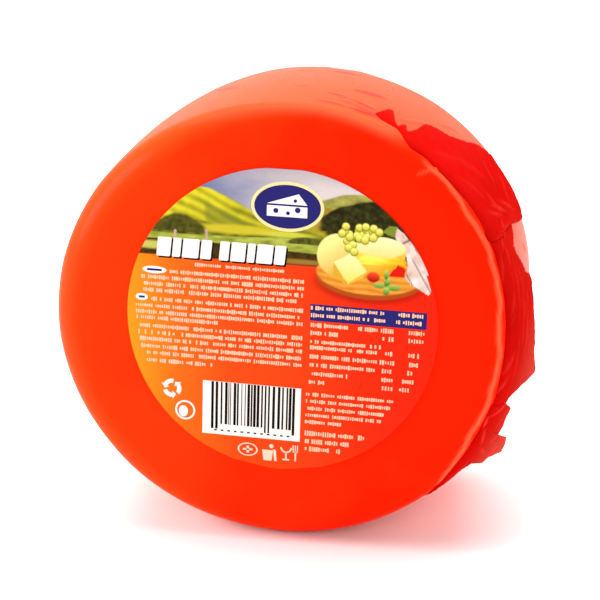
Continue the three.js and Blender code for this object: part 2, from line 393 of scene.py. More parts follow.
def make_film_skin():
    half = np.concatenate([
        np.linspace(0, crown_length, RIM_RINGS // 2 + 1)[1:],
        crown_length + np.linspace(0, shoulder_length, SHOULDER_RINGS)[1:],
        crown_length + shoulder_length + np.linspace(0, fall_length, FALL_RINGS)[1:],
        outline_length - fall_r * np.linspace(1, 0.02, FACE_RINGS)[1:],
    ])
    rings = np.concatenate([-half[::-1], [0.0], half])
    turn = math.radians(-60) + np.arange(SKIN_SEGMENTS) * math.tau / SKIN_SEGMENTS
    angle, across = np.meshgrid(turn, rings, indexing="ij")
    pleat_height, doubled = pleats_at(angle, across, PLEATS + WRINKLES)
    # The creases stand up as ridges, and the same mask paints a paler orange highlight along them
    # into the film's colour.
    crease = np.maximum(
        crease_at(angle, across, SHOULDER_CREASE, CREASE_WIDTH),
        0.8 * crease_at(angle, across, CROSS_CREASE, 0.8),
    )
    crease *= np.clip((math.radians(54) - angle) / math.radians(5), 0, 1)
    on_face = np.clip((np.abs(across) - crown_length) / shoulder_length, 0, 1)
    bumps = (1 - np.cos(angle * 3 + 1)) * 0.06 * MM + 0.07 * MM * np.sin(angle * 7 + across * 60)
    bumps += 0.04 * MM * np.sin(angle * 17 - across * 90) * (1 - on_face)
    bumps *= np.clip((outline_length - np.abs(across)) / (20 * MM), 0, 1)
    lift = bumps + pleat_height + CREASE_HEIGHT * MM * crease ** 1.5
    outer = wrap_points(angle, across, lift).reshape(-1, 3)
    columns = len(rings)
    faces = [tuple(q) for q in quads(SKIN_SEGMENTS, columns, True)]

    poles = [(0, -HALF_THICKNESS, AXIS_HEIGHT), (0, HALF_THICKNESS, AXIS_HEIGHT)]
    front, back = len(outer), len(outer) + 1
    for i in range(SKIN_SEGMENTS):
        after = (i + 1) % SKIN_SEGMENTS
        faces.append((front, after * columns, i * columns))
        faces.append((back, i * columns + columns - 1, after * columns + columns - 1))
    # The rim mask: painted sheen in the film's colour, and the weight of its real coat gloss.
    left = np.clip(0.2 - 1.2 * np.cos(angle), 0, 1)
    rim = (SHEEN_REACH + LEFT_REACH * left - on_face) / (SHEEN_FADE + LEFT_FADE * left)
    rim = np.clip(rim, 0, 1)
    beside_end = np.clip((math.radians(64) - angle) / math.radians(8), 0, 1)
    beside_end *= np.clip((-across / MM - 14) / 20, 0, 1) * np.clip((angle + 0.9) / 0.3, 0, 1)
    rim *= 1 - SHEEN_LOST * beside_end
    marks = {"doubled": doubled, "crease": crease, "rim": rim}
    marks = {key: np.append(values, [0, 0]) for key, values in marks.items()}
    return mesh_object("film_skin", np.vstack([outer, poles]), faces, marks)


film_skin = make_film_skin()


# The film's red, and a paler orange that both random patches of tone and the painted light from the
# left reach.
FILM_RED = (0.97, 0.0125, 0.0008)
FILM_TONE_AND_LIT_ORANGE = (1.0, 0.031, 0.0026)
DOUBLED_RED = (0.5, 0.006, 0.001)
# Painted highlight along the shoulder creases.
CREASE_HIGHLIGHT_ORANGE = (1.0, 0.13, 0.05)
# Painted sheen of the rim where the lamps reflect. The rim mask also weights the real coat gloss.
RIM_SHEEN_ORANGE = (1.0, 0.062, 0.006)
RIM_GLOSS = 0.11


def combined(tree, operation, first, second):
    """Two values added or multiplied."""
    return node(tree, "ShaderNodeMath", {"operation": operation}, {0: first, 1: second}).outputs[0]


def new_group(name, kind, given, result):
    """An empty node group, its named inputs, and the node that takes its named outputs."""
    tree = bpy.data.node_groups.new(name, kind)
    for way, sockets in (("INPUT", given), ("OUTPUT", result)):
        for socket, socket_kind in sockets.items():
            tree.interface.new_socket(socket, in_out=way, socket_type="NodeSocket" + socket_kind)
    return tree, tree.nodes.new("NodeGroupInput").outputs, tree.nodes.new("NodeGroupOutput")


def fine_grain_group():
    """Fine grain of a surface, with the roughness and the bump that it gives."""
    numbers = ("Scale", "Detail", "Unevenness", "Smoothest", "Roughest", "Bump", "Depth")
    tree, given, result = new_group(
        "fine_grain", "ShaderNodeTree",
        {"Place": "Vector", **dict.fromkeys(numbers, "Float")},
        {"Grain": "Float", "Roughness": "Float", "Normal": "Vector"},
    )
    grain = noise(tree, given["Place"], given["Scale"], given["Detail"], given["Unevenness"])
    rough = spread(tree, grain, given["Smoothest"], given["Roughest"])
    bump = node(tree, "ShaderNodeBump", inputs={
        "Strength": given["Bump"], "Distance": given["Depth"], "Height": grain,
    })
    for name, value in (("Grain", grain), ("Roughness", rough), ("Normal", bump.outputs["Normal"])):
        tree.links.new(value, result.inputs[name])
    return tree


FINE_GRAIN = fine_grain_group()


def use_group(tree, group, inputs):
    """The outputs of a node group placed in a material with these inputs."""
    return node(tree, "ShaderNodeGroup", {"node_tree": group}, inputs).outputs


def shade_marks(tree, colour, shades):
    """A colour with a shade laid over each mark on the mesh, and those marks' masks."""
    masks = {}
    for key, shade in shades.items():
        masks[key] = node(tree, "ShaderNodeAttribute", {"attribute_name": key}).outputs["Fac"]
        colour = mixed(tree, masks[key], colour, shade)
    return colour, masks


def film_material():
    material, tree, output, place = new_material("red_shrink_film")
    clouds = noise(tree, place, 22.0, 4.0, 0.55)
    sides = node(tree, "ShaderNodeSeparateXYZ", inputs={"Vector": place})
    # Painted light: the film is painted paler orange towards the left, where the key light falls.
    painted_left_light = spread(tree, sides.outputs["X"], -0.3, 0.35, 50 * MM, -60 * MM, "SMOOTHSTEP")
    tone_and_left_light = combined(tree, "ADD", clouds, painted_left_light)
    colour = colour_ramp(tree, tone_and_left_light, [(0.3, FILM_RED), (0.8, FILM_TONE_AND_LIT_ORANGE)])
    # Laid over it: a painted sheen on the rim, a painted highlight along the shoulder crease, and
    # the real deeper red of doubled film at the pleats.
    colour, masks = shade_marks(tree, colour, {
        "rim": RIM_SHEEN_ORANGE, "crease": CREASE_HIGHLIGHT_ORANGE, "doubled": DOUBLED_RED,
    })
    grain = use_group(tree, FINE_GRAIN, {
        "Place": place, "Scale": 420.0, "Detail": 3.0, "Unevenness": 0.5,
        "Smoothest": 0.2, "Roughest": 0.42, "Bump": 0.1, "Depth": 0.1 * MM,
    })
    finish_material(tree, output, {
        "Base Color": colour, "Roughness": grain["Roughness"], "Normal": grain["Normal"],
        "Specular IOR Level": 0.006, "Coat Roughness": 0.16,
        "Coat Weight": combined(tree, "MULTIPLY", masks["rim"], RIM_GLOSS),
    })
    return material


film_skin.data.materials.append(film_material())
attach(film_skin, "root")
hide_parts("film_bag")


# ---- Folded bag end -------------------------------------------------------------------------
# The loose mouth of the same bag, gathered and pressed down over the right of the rim while the
# film was hot. Layers lie on each other here, so it is a deep red. It is creased along the rim,
# and its cut edge stands off the lower right in ragged lobes.

END_WALL = 0.12 * MM
END_STEP = math.radians(0.4)
END_COLUMNS = 56
SEATED_LIFT = 0.38

# Each sheet is given by stations down the rim: degrees up from the right, then depth and lift
# in millimetres at the front edge, and depth and lift at the back edge.
UPPER_SHEET = (
    (68.6, -25, 0, -23, 0.2), (67.4, -26, 0, -19, 0.8), (66.4, -26.5, 0, -15.5, 1.2),
    (65.2, -27, 0, -14.5, 1.2), (64.2, -27.2, 0, -19, 0.9), (63.2, -27.4, 0, -24, 0.6),
    (62, -28, 0, -25.4, 0.6), (61.4, -29, 0, -22, 0.8), (60.6, -30, 0, -21, 0.8),
    (60, -31.5, 0, -25.5, 0.5), (59.2, -33, 0, -24, 0.6), (58.2, -34, 0, -20.5, 0.8),
    (57.6, -34.6, 0, -14, 0.9), (56.8, -35, 0, -8, 0.9), (55.5, -35, 0, -5.5, 0.8),
    (53.8, -34.6, 0, -4.6, 0.8), (52, -34.6, 0, -3, 0.7), (50.3, -35.2, 0, -1.5, 0.7),
    (47.8, -35.6, 0, 4, 0.8), (45.3, -36, 0, 10, 0.8), (43.1, -36.2, 0, 19, 0.7),
    (40.4, -36.3, 0, 24, 0.7), (36, -36.6, 0, 34, 0.4), (30, -36.8, 0, 36, 0.4),
    (27, -36.8, 0.3, 37, 0.6), (25.6, -34, 0.7, 37, 0.7), (24.9, -16, 0.9, 37, 0.8),
    (23.5, -4.5, 1, 37, 0.8), (21.5, 6, 1, 37, 0.8), (19.5, 20, 0.9, 36, 0.8),
    (18.5, 29, 0.7, 35, 0.6),
)
LOWER_SHEET = (
    (31, -36.6, 0, -30, 0.1), (28, -36.7, 0, -20, 0.1), (25.5, -36.8, 0, -9, 0.3),
    (23.8, -36.9, 0, -6, 0.8), (21.8, -37.2, 0, -12, 0.9), (20.5, -37.4, 0, -19, 1),
    (18, -37.4, 0, -17, 1), (14.8, -37.6, 0, -12.5, 1), (11.5, -37.8, 0, -9, 1.1),
    (9, -38, 0, 0, 1), (6, -38.2, 0, 8, 1), (3, -38.4, 0, 16, 0.9), (0.6, -38.5, 0, 20, 0.9),
    (-3.5, -38.6, 0, 14, 1.8), (-7.4, -38.7, 0, 2, 3.3), (-10, -38.7, 0, -7, 4.4),
    (-12.7, -38.6, 0, -12, 5.9), (-13.3, -38.6, 0, -14, 6), (-15.1, -38.5, 0, -23, 3.2),
    (-17.5, -38.4, 0, -31, 0.6), (-18.5, -38.4, 0, -33, 0.3),
)
MIDDLE_LOBE = (
    (-17.6, -39, 0, -33, 0.6), (-18.2, -39, 0, -31, 0.9), (-20.1, -39, 0, -27, 2.9),
    (-22.1, -39, 0, -26, 2.9), (-23.9, -39, 0, -26, 3), (-26.5, -38.8, 0, -27.5, 3.2),
    (-28.2, -38.8, 0, -28.5, 3.3), (-30, -38.7, 0, -30, 2.5),
)
LOW_LOBE = (
    (-26.3, -38.6, 0.2, -33, 1), (-27.2, -38.6, 0.2, -29, 3.6), (-28.2, -38.6, 0.2, -23, 6),
    (-30.2, -38.5, 0.1, -22, 7.2), (-32.4, -38.4, 0.1, -22, 7.8), (-33.6, -38.3, 0.1, -23, 6.6),
    (-34.8, -38.2, 0.1, -24, 5.4), (-35.6, -38.2, 0, -24.5, 5.2), (-36.8, -38.1, 0, -25, 5.1),
    (-37.3, -38.1, 0, -26, 3.2), (-38.6, -38, 0, -28, 2), (-40.5, -37.7, 0, -29.5, 1),
    (-45.3, -36.8, 0, -30.5, 0.9), (-48, -35.8, 0, -31.5, 0.8), (-50.5, -34, 0, -33, 0.2),
)
# Folds of the bag end, written as the skin's pleats are, but here the last number is how much
# painted highlight a crest gets, a paler red that also weights the coat gloss.
FOLDS = (
    ((53, -30), (44, -15), 0.25, 4, 0.15), ((49, -22), (36, -4), 0.3, 4, 0.2),
    ((44, -30), (33, -20), 0.3, 3, 0.2), ((42, 12), (31, -1), 0.25, 2.4, 0.25),
    ((34, 24), (26, 6), 0.3, 2.4, 0.3), ((36, -16), (27, -13), 0.35, 1.8, 0.5),
    ((31, -8), (23.5, 12), 0.4, 1.5, 0.5), ((33, -22), (26, -2), 0.4, 1.1, 0.6),
    ((33, -30), (27, -12), 0.4, 1.2, 0.45), ((28, -15), (23, -26), 0.5, 1, 0.6),
    ((26.2, -25), (22, -34), 0.5, 1, 0.5), ((24, -34), (14, -38), 0.4, 1.2, 0.45),
    ((25, -27), (17, -31), 0.5, 1.3, 0.5), ((19, -25), (5, -28), 0.4, 2, 0.35),
    ((13.5, -32), (6, -37), 0.4, 1, 0.5), ((12, -18), (-7, -24), 0.5, 2, 0.4),
    ((2, -6), (-11, -20), 0.5, 2, 0.45), ((-2, -34), (-9.5, -38.6), 0.5, 1.1, 0.6),
    ((-9, -36), (-15, -38.8), 0.4, 1, 0.6), ((2, -30), (-14, -33), 0.45, 1.6, 0.4),
    ((-16.8, -31), (-21.5, -38.6), 0.5, 0.8, 0.9), ((-20.5, -38.4), (-25, -38.2), 0.5, 0.8, 0.9),
    ((-19, -30), (-26, -31), 0.4, 1.4, 0.4), ((-24, -38), (-31, -34.6), 0.5, 0.8, 0.8),
    ((-30.6, -34.4), (-34, -28), 0.5, 0.9, 0.7), ((-29, -27), (-34, -25), 0.5, 2, 0.4),
    ((-34, -35), (-46, -34), 0.4, 1.2, 0.5),
)
UPPER_CREASES = loose_creases(
    count=26, seed=3, angles=(26, 60), depths=(-32, 30), lengths=(6, 18),
    rises=(0.08, 0.16), shades=(0.02, 0.12),
)
LOWER_CREASES = loose_creases(
    count=44, seed=9, angles=(-40, 26), depths=(-38, 16), lengths=(6, 22),
    rises=(0.12, 0.3), shades=(0.1, 0.45),
)


def film_sheet(stations):
    """One creased sheet of the bag end: its points, its quads and what its colour needs."""
    stations = np.array(stations)[::-1]
    rows = max(8, int(math.radians(stations[-1, 0] - stations[0, 0]) / END_STEP))
    degrees = np.linspace(stations[0, 0], stations[-1, 0], rows)
    front_y, front_lift, back_y, back_lift = (
        np.interp(degrees, stations[:, 0], stations[:, i])[:, None] for i in range(1, 5)
    )
    share = np.linspace(0, 1, END_COLUMNS)[None, :]
    angle = np.radians(degrees)[:, None] + 0 * share
    ragged = 0.35 * np.sin(degrees * 4.1) + 0.2 * np.sin(degrees * 9.7 + 1)
    depth = front_y + (back_y + ragged[:, None] - front_y) * share
    across = across_at_depth(depth * MM)
    folds, crest_highlight = pleats_at(angle, across, FOLDS + UPPER_CREASES + LOWER_CREASES)
    seated = SEATED_LIFT * np.clip(share * np.maximum(back_y - front_y, 1) / 2, 0, 1)
    seated = np.maximum(seated, front_lift * (1 - share))
    lift = seated + (back_lift - SEATED_LIFT) * share ** 1.8
    rumple = 0.07 * np.sin(angle * 31 + depth * 0.35) * np.sin(angle * 12 - depth * 0.21 + 2)
    rumple += 0.04 * np.sin(angle * 67 - depth * 0.5)
    lift = (lift + rumple * np.clip(share * 4, 0, 1)) * MM + folds
    # Painted highlight: the strip just before the cut edge is painted paler, as the crests are.
    edge = np.clip(1 - (1 - share) * np.maximum(back_y - front_y, 1) / 0.9, 0, 1) + 0 * angle
    points = wrap_points(angle, across, lift).reshape(-1, 3)
    return points, quads(rows, END_COLUMNS, False), {
        "crest_highlight": np.maximum(crest_highlight ** 2, 0.7 * edge).ravel(),
        # Painted light: where the sheet stands off the rim it is painted paler and pinker, for
        # lamplight passing through the film.
        "standing_backlight": np.clip(lift / MM / 9, 0, 1).ravel(),
    }


def make_bag_end():
    sheets = [film_sheet(s) for s in (UPPER_SHEET, LOWER_SHEET, MIDDLE_LOBE, LOW_LOBE)]
    first = np.cumsum([0] + [len(points) for points, _, _ in sheets])
    points = np.vstack([points for points, _, _ in sheets])
    faces = np.vstack([faces + start for (_, faces, _), start in zip(sheets, first)])
    marks = {key: np.concatenate([marks[key] for _, _, marks in sheets]) for key in sheets[0][2]}
    bag_end = mesh_object("folded_bag_end", points, faces, marks)
    wall = bag_end.modifiers.new("film wall", "SOLIDIFY")
    wall.thickness = END_WALL
    wall.offset = 0
    return bag_end


END_RED = (0.46, 0.0006, 0.0003)
# Painted highlight on the crests of the folds and along the cut edge. The same mask weights the
# real coat gloss.
END_CREST_HIGHLIGHT = (0.9, 0.035, 0.022)
# Painted light coming through the film where it stands off the rim.
END_BACKLIT_STANDING = (0.62, 0.075, 0.05)
END_GLOSS = 0.12


def bag_end_material():
    material, tree, output, place = new_material("folded_red_film")
    clouds = noise(tree, place, 70.0, 4.0, 0.6)
    end_pale = (END_RED[0] * 1.2, END_RED[1] * 3, END_RED[2] * 3)
    colour = colour_ramp(tree, clouds, [(0.3, END_RED), (0.8, end_pale)])
    # Laid over it: painted light through the film where it stands off, and a painted highlight on
    # the crests and the cut edge.
    colour, masks = shade_marks(tree, colour, {"standing_backlight": END_BACKLIT_STANDING, "crest_highlight": END_CREST_HIGHLIGHT})
    grain = use_group(tree, FINE_GRAIN, {
        "Place": place, "Scale": 260.0, "Detail": 4.0, "Unevenness": 0.6,
        "Smoothest": 0.15, "Roughest": 0.4, "Bump": 0.3, "Depth": 0.2 * MM,
    })
    finish_material(tree, output, {
        "Base Color": colour, "Roughness": grain["Roughness"], "Normal": grain["Normal"],
        "Specular IOR Level": 0.0, "Coat Roughness": 0.15,
        "Coat Weight": combined(tree, "MULTIPLY", masks["crest_highlight"], END_GLOSS),
    })
    return material


bag_end = make_bag_end()
bag_end.data.materials.append(bag_end_material())
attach(bag_end, "root")
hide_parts("bag_tail")


# ---- Label base -----------------------------------------------------------------------------
# A round self-adhesive paper label on the front face. The whole disc is printed: orange to red
# behind the text, a farmed valley along the top, and a board with cheese and grapes on the right.

LABEL_LOW, LABEL_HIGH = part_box("face_label")
LABEL_RADIUS = (LABEL_HIGH.x - LABEL_LOW.x) / 2 / MM
# The disc was cut a little right of and below the middle of its print, in millimetres.
CUT_U, CUT_W = 0.4, -0.6
PRINT_X = (LABEL_LOW.x + LABEL_HIGH.x) / 2 - CUT_U * MM
PRINT_Z = (LABEL_LOW.z + LABEL_HIGH.z) / 2 - CUT_W * MM
LABEL_TURN = math.radians(-1.6)
LABEL_TONE = 0.8
PICTURE_FOOT = 18.4
COARSE_ROW, FINE_ROW = 2.0, 0.3
LABEL_COLUMNS = 300


def label_points(u, w, raised=0.0):
    """Places on the label, in millimetres right of and above its print's middle, and out of it."""
    u, w = np.asarray(u, float) * MM, np.asarray(w, float) * MM
    x = PRINT_X + u * math.cos(LABEL_TURN) - w * math.sin(LABEL_TURN)
    z = PRINT_Z + u * math.sin(LABEL_TURN) + w * math.cos(LABEL_TURN)
    return np.stack([x, np.full_like(x, LABEL_LOW.y - raised * MM), z], -1)


def ink(code):
    """A printing ink as a linear colour, from its six-figure screen colour."""
    screen = np.array([int(code[i:i + 2], 16) for i in (0, 2, 4)]) / 255
    linear = np.where(screen > 0.04045, ((screen + 0.055) / 1.055) ** 2.4, screen / 12.92)
    return linear * LABEL_TONE


def step(value, soft):
    """0 to 1 as value passes 0, over a band `soft` wide."""
    share = np.clip(value / soft + 0.5, 0, 1)
    return share * share * (3 - 2 * share)


def grain(u, w, size, seed):
    """Soft uneven patches of about `size` millimetres, from -1 to 1."""
    total = np.zeros(np.shape(u))
    for octave, share in ((1, 0.6), (2, 0.3), (4, 0.2)):
        lattice = np.random.default_rng(seed + octave).uniform(-1, 1, (64, 64))
        a, b = np.asarray(u) / size * octave, np.asarray(w) / size * octave
        a0, b0 = np.floor(a).astype(int), np.floor(b).astype(int)
        fa, fb = a - a0, b - b0
        fa, fb = fa * fa * (3 - 2 * fa), fb * fb * (3 - 2 * fb)
        a1, b1 = (a0 + 1) % 64, (b0 + 1) % 64
        a0, b0 = a0 % 64, b0 % 64
        low = lattice[a0, b0] * (1 - fa) + lattice[a1, b0] * fa
        high = lattice[a0, b1] * (1 - fa) + lattice[a1, b1] * fa
        total += share * (low * (1 - fb) + high * fb)
    return total


class LabelArt:
    """The label's colours at each point, painted one shape over another."""

    def __init__(self, u, w):
        self.u, self.w = u, w
        self.colours = np.zeros(u.shape + (3,))

    def lay(self, mask, colour):
        mask = np.broadcast_to(mask, self.u.shape)[..., None]
        self.colours = self.colours * (1 - mask) + colour * mask

    def below(self, line, soft=0.5):
        """The area under a line of (right, up) points, and none beyond its ends."""
        us, ws = zip(*line)
        within = step(self.u - us[0], 2) * step(us[-1] - self.u, 2)
        return step(np.interp(self.u, us, ws) - self.w, soft) * within

    def oval(self, u, w, ru, rw, soft=0.35):
        distance = np.hypot((self.u - u) / ru, (self.w - w) / rw)
        return step((1 - distance) * min(ru, rw), soft)

    def polygon(self, corners):
        inside = np.zeros(self.u.shape, bool)
        for (u0, w0), (u1, w1) in zip(corners, corners[1:] + corners[:1]):
            crosses = (w0 > self.w) != (w1 > self.w)
            rise = w1 - w0 if w1 != w0 else 1.0
            inside ^= crosses & (self.u < (u1 - u0) * (self.w - w0) / rise + u0)
        return inside.astype(float)

    def paint(self, mask, code, bright=None, share=None):
        """Lays an ink over a shape, or its mix with a brighter ink by a share from 0 to 1."""
        colour = ink(code)
        if bright:
            colour = colour + (ink(bright) - colour) * np.clip(share, 0, 1)[..., None]
        self.lay(mask, colour)


def paint_background(art):
    """Orange at the left, running to red over the middle and right."""
    across = art.u + 0.12 * art.w + 3 * grain(art.u, art.w, 30, 1)
    places, codes = zip(
        (-50, "ff9a1c"), (-44, "ff8a18"), (-34, "ff6c14"), (-18, "fb4c10"),
        (4, "f9400f"), (24, "fc2c08"), (50, "ff2206"),
    )
    channels = np.array([ink(code) for code in codes]).T
    art.colours = np.stack([np.interp(across, places, channel) for channel in channels], -1)


def paint_valley(art):
    """Sky, a sunlit hill with ploughed fields, woods, hedges and a dark foreground bank."""
    u, w = art.u, art.w

    def land(line, *inks, soft=0.5, share=1.0):
        art.paint(art.below(line, soft) * share, *inks)

    clouds = 0.5 + 0.5 * grain(u * 0.6, w * 1.6, 5, 2)
    above = (w > PICTURE_FOOT).astype(float)
    art.paint(above, "56679a", "dccdc9", (u + 24) / 40 + 0.25 * clouds)
    art.paint(step(w - 46 + u * 0.06, 5) * 0.5, "a89aa0")
    far_hill = [(9, 38.5), (14, 40), (19, 41.8), (24, 42.2), (29, 41), (36, 38)]
    land(far_hill, "6e6a2e", "c4bc5c", 0.5 + 0.5 * grain(u, w, 2.2, 4))
    far_field = [(8, 36.5), (15, 37.5), (22, 38.2), (36, 37)]
    land(far_field, "7a6420", "c9a83a", 0.5 + 0.5 * grain(u, w * 2, 2, 5))
    wood = [(12, 34), (15, 36.3), (18, 38), (21, 38.6), (24, 39.8), (28, 40.4), (31, 39.5),
            (35, 36.5), (39, 32), (42, 28)]
    leaves = 0.5 + 0.5 * grain(u, w, 1.1, 7)
    land(wood, "1c1a08", "4e4a18", leaves * leaves, soft=0.8)
    hill = [(-40, 30.5), (-36, 34.5), (-31, 39.6), (-27, 41.4), (-23, 41), (-17, 38.6),
            (-12, 36.2), (-8, 33.8), (-2, 31.6), (6, 30.2), (14, 30)]
    furrows = np.sin((w + 0.42 * u) * 1.9 + 0.8 * np.sin(u * 0.3)) * 0.25 + 0.25 * grain(u, w, 4, 3)
    land(hill, "7f7a16", "e2d42a", 0.5 + 1.3 * furrows - 0.018 * (u + 14))
    hollow = [(-24, 36.5), (-18, 34.2), (-12, 31.5), (-6, 29.8), (2, 29), (14, 28.6)]
    land(hollow, "7c8024", soft=1.5, share=0.7)
    slope = [(-44, 27.8), (-34, 31.2), (-26, 30.6), (-18, 29), (-10, 27.8), (0, 27.5), (14, 27.6)]
    land(slope, "30300c", "8a8a24", 0.4 + 0.8 * grain(u, w, 2.4, 6), soft=0.8)
    art.paint(art.oval(-14, 28.4, 15, 1.5, 1.2), "cdbc2c")
    art.paint(art.oval(2, 27.9, 8, 0.9, 0.8), "d0cc44")
    left_wood = [(-41, 28.4), (-38, 30.4), (-34, 32.4), (-30, 32), (-27, 30.2), (-24, 28.6)]
    land(left_wood, "28260a", "6a6620", leaves, soft=1.2, share=step(w - 26.4, 1.2))
    meadow = [(-45, 25.8), (-30, 25.7), (-12, 26.2), (0, 27), (9, 26.4), (14, 25.6)]
    land(meadow, "6f7c20", "c2c852", 0.55 + 0.6 * grain(u * 0.5, w * 2, 2, 8))
    hedge = [(2, 26.2), (5, 27.3), (8, 27.6), (11, 27), (13, 26)]
    land(hedge, "33340f", "6a6a22", leaves, soft=0.6, share=w > 25.4)
    bank = [(-46, 23.6), (-36, 24), (-24, 23.8), (-12, 23.2), (0, 22.9), (13, 22.4)]
    land(bank, "2a1806", "5c430f", leaves * 0.8)
    art.paint(art.oval(-41, 21.6, 6, 1.3, 1), "c9c05a")
    art.paint(art.oval(6, 19.6, 9, 0.8, 0.8), "9a7430")
    for post_u, top in ((-34, 27), (-24, 28), (-44, 22)):
        post = [(post_u, 23), (post_u + 0.9, 23), (post_u + 0.7, top), (post_u, top)]
        art.paint(art.polygon(post), "c9a58c")
    background = LabelArt(u, w)
    paint_background(background)
    art.lay(step(PICTURE_FOOT - w, 0.5), background.colours)


GRAPES = 26
GOLDEN_TURN = 2.39996


def paint_board(art):
    """A round wooden board with two cheeses, a cut block, grapes, tomato, basil and a cloth."""
    u, w = art.u, art.w
    art.paint(art.oval(28, 14.2, 17.6, 6.6, 2.2) * 0.55, "7a1406")
    art.paint(art.oval(27.9, 16.3, 16.8, 7.1), "b04c14")
    rings = 0.5 + 0.35 * np.sin((w + 0.06 * u) * 3.1 + np.sin(u * 0.4)) + 0.2 * grain(u, w, 2, 9)
    art.paint(art.oval(27.9, 17.4, 16.6, 6.7), "d87c20", "f3a840", rings)
    cloth = art.polygon([
        (35.4, 32.8), (38, 31), (41, 27.4), (43.6, 22.2), (47, 13.6), (46.4, 11.9), (43.5, 13.6),
        (40.6, 15.2), (38.8, 17), (39.6, 21), (38.4, 26), (35, 29.6),
    ])
    art.paint(cloth, "d8ad9c", "fbeae0", 0.55 + 0.7 * grain(u, w, 2.6, 11))
    stripes = np.exp(-((np.sin((u * 0.92 + w * 0.55) * 0.75) / 0.16) ** 2))
    art.paint(cloth * stripes * step(23 - w, 3) * 0.9, "5f4f50")
    art.paint(cloth * np.exp(-((u * 0.55 - w * 0.9 + 4.4) / 0.35) ** 2), "6d5a58")
    art.paint(art.oval(17.8, 22.6, 6.5, 6.9), "d89c24", "fbec90", (w - 16) / 13 + (20 - u) / 22)
    side = art.polygon([(22.9, 20.4), (38.7, 20.4), (38.7, 26), (22.9, 26)])
    side_light = (w - 18) / 8 + 0.25 * np.sin((u - 22) * 0.3)
    art.paint(art.oval(30.8, 20.4, 7.9, 3.6) + side, "e69a16", "f8d850", side_light)
    art.paint(art.oval(30.8, 26.1, 7.9, 3.3), "efd978", "fdf3b4", (w - 22.6) / 6)
    art.paint(art.polygon([(16.6, 20.3), (20.6, 14), (20.8, 13.2), (16.5, 16.4)]), "dfa92c")
    block_top = art.polygon([(16.6, 20.4), (22.3, 23.9), (27, 18.1), (21, 13.9)])
    art.paint(block_top, "fbdc60", "fff4ae", (w - 14) / 9)
    art.paint(art.polygon([(21, 13.9), (27, 18.1), (26, 16.2), (20.8, 13.1)]), "e9b838")
    for number in range(GRAPES):
        turn = number * GOLDEN_TURN
        reach = math.sqrt((number + 0.5) / GRAPES)
        grape_u = 25.2 + 6.2 * reach * math.cos(turn) - 0.5 * reach
        grape_w = 30.6 + 2.7 * reach * math.sin(turn)
        if number % 5 == 4:
            grape_u, grape_w = 20.4 + 0.35 * number % 3, 29.5 - 0.22 * number
        art.paint(art.oval(grape_u, grape_w - 0.2, 1.3, 1.3), "7d7a14")
        grape_light = (w - grape_w + 1.1) / 2
        art.paint(art.oval(grape_u, grape_w, 1.1, 1.1), "c9bd22", "f8f37c", grape_light)
    vine_leaf = [(31.2, 31), (33.5, 33.2), (36, 33.2), (35.4, 31.4), (35.3, 29.4)]
    art.paint(art.polygon(vine_leaf), "7f8a30")
    art.paint(art.oval(29, 16.5, 2, 1.7), "b81406", "f4502c", (w - 15.6) / 2.4)
    art.paint(art.polygon([(33.4, 17.2), (38.6, 17), (38.8, 20), (36.6, 21)]), "dd1c08")
    for leaf in ((31, 14, 1.9, 0.9), (33.4, 15.4, 1, 1.9), (35.4, 13.6, 2.2, 1),
                 (33.2, 12.4, 1.1, 1.3), (33, 17.6, 0.7, 1.6)):
        art.paint(art.oval(*leaf), "4f7d20", "b2c85c", (w - leaf[1] + 1) / 2)


def make_label_base():
    coarse = np.arange(-LABEL_RADIUS + 0.05, 8, COARSE_ROW)
    fine = np.arange(8, LABEL_RADIUS - 0.04, FINE_ROW)
    rows = np.concatenate([coarse, fine])
    chord = np.sqrt(LABEL_RADIUS ** 2 - rows ** 2)
    share = np.linspace(-1, 1, LABEL_COLUMNS)
    u = CUT_U + chord[:, None] * share[None, :]
    w = CUT_W + rows[:, None] + 0 * u
    art = LabelArt(u, w)
    paint_background(art)
    paint_valley(art)
    paint_board(art)
    points = label_points(u, w).reshape(-1, 3)
    grid = np.arange(u.size).reshape(u.shape)
    faces = [tuple(q) for q in np.roll(quads(*u.shape, False)[:, ::-1], 1, axis=1)]
    rim = np.concatenate([grid[0, :], grid[1:, -1], grid[-1, -2::-1], grid[-2:0:-1, 0]])
    behind = points[rim] + np.array([0, LABEL_HIGH.y - LABEL_LOW.y, 0])
    back = len(points) + np.arange(len(rim))
    for i in range(len(rim)):
        after = (i + 1) % len(rim)
        faces.append((int(rim[after]), int(rim[i]), int(back[i]), int(back[after])))
    faces.append(tuple(int(i) for i in back[::-1]))
    base = mesh_object("printed_label", np.vstack([points, behind]), faces, smooth=False)
    colours = np.vstack([art.colours.reshape(-1, 3), art.colours.reshape(-1, 3)[rim]])
    layer = base.data.color_attributes.new("print", "FLOAT_COLOR", "POINT")
    layer.data.foreach_set("color", np.hstack([colours, np.ones((len(colours), 1))]).ravel())
    return base


def print_mottle_group():
    """A printed colour, a little uneven with the grain of its paper."""
    tree, given, result = new_group(
        "print_mottle", "ShaderNodeTree",
        {"Colour": "Color", "Grain": "Float", "Darkest": "Float", "Palest": "Float"},
        {"Colour": "Color"},
    )
    value = spread(tree, given["Grain"], given["Darkest"], given["Palest"])
    mottled = node(tree, "ShaderNodeHueSaturation", inputs={
        "Color": given["Colour"], "Value": value,
    })
    tree.links.new(mottled.outputs["Color"], result.inputs["Colour"])
    return tree


PRINT_MOTTLE = print_mottle_group()


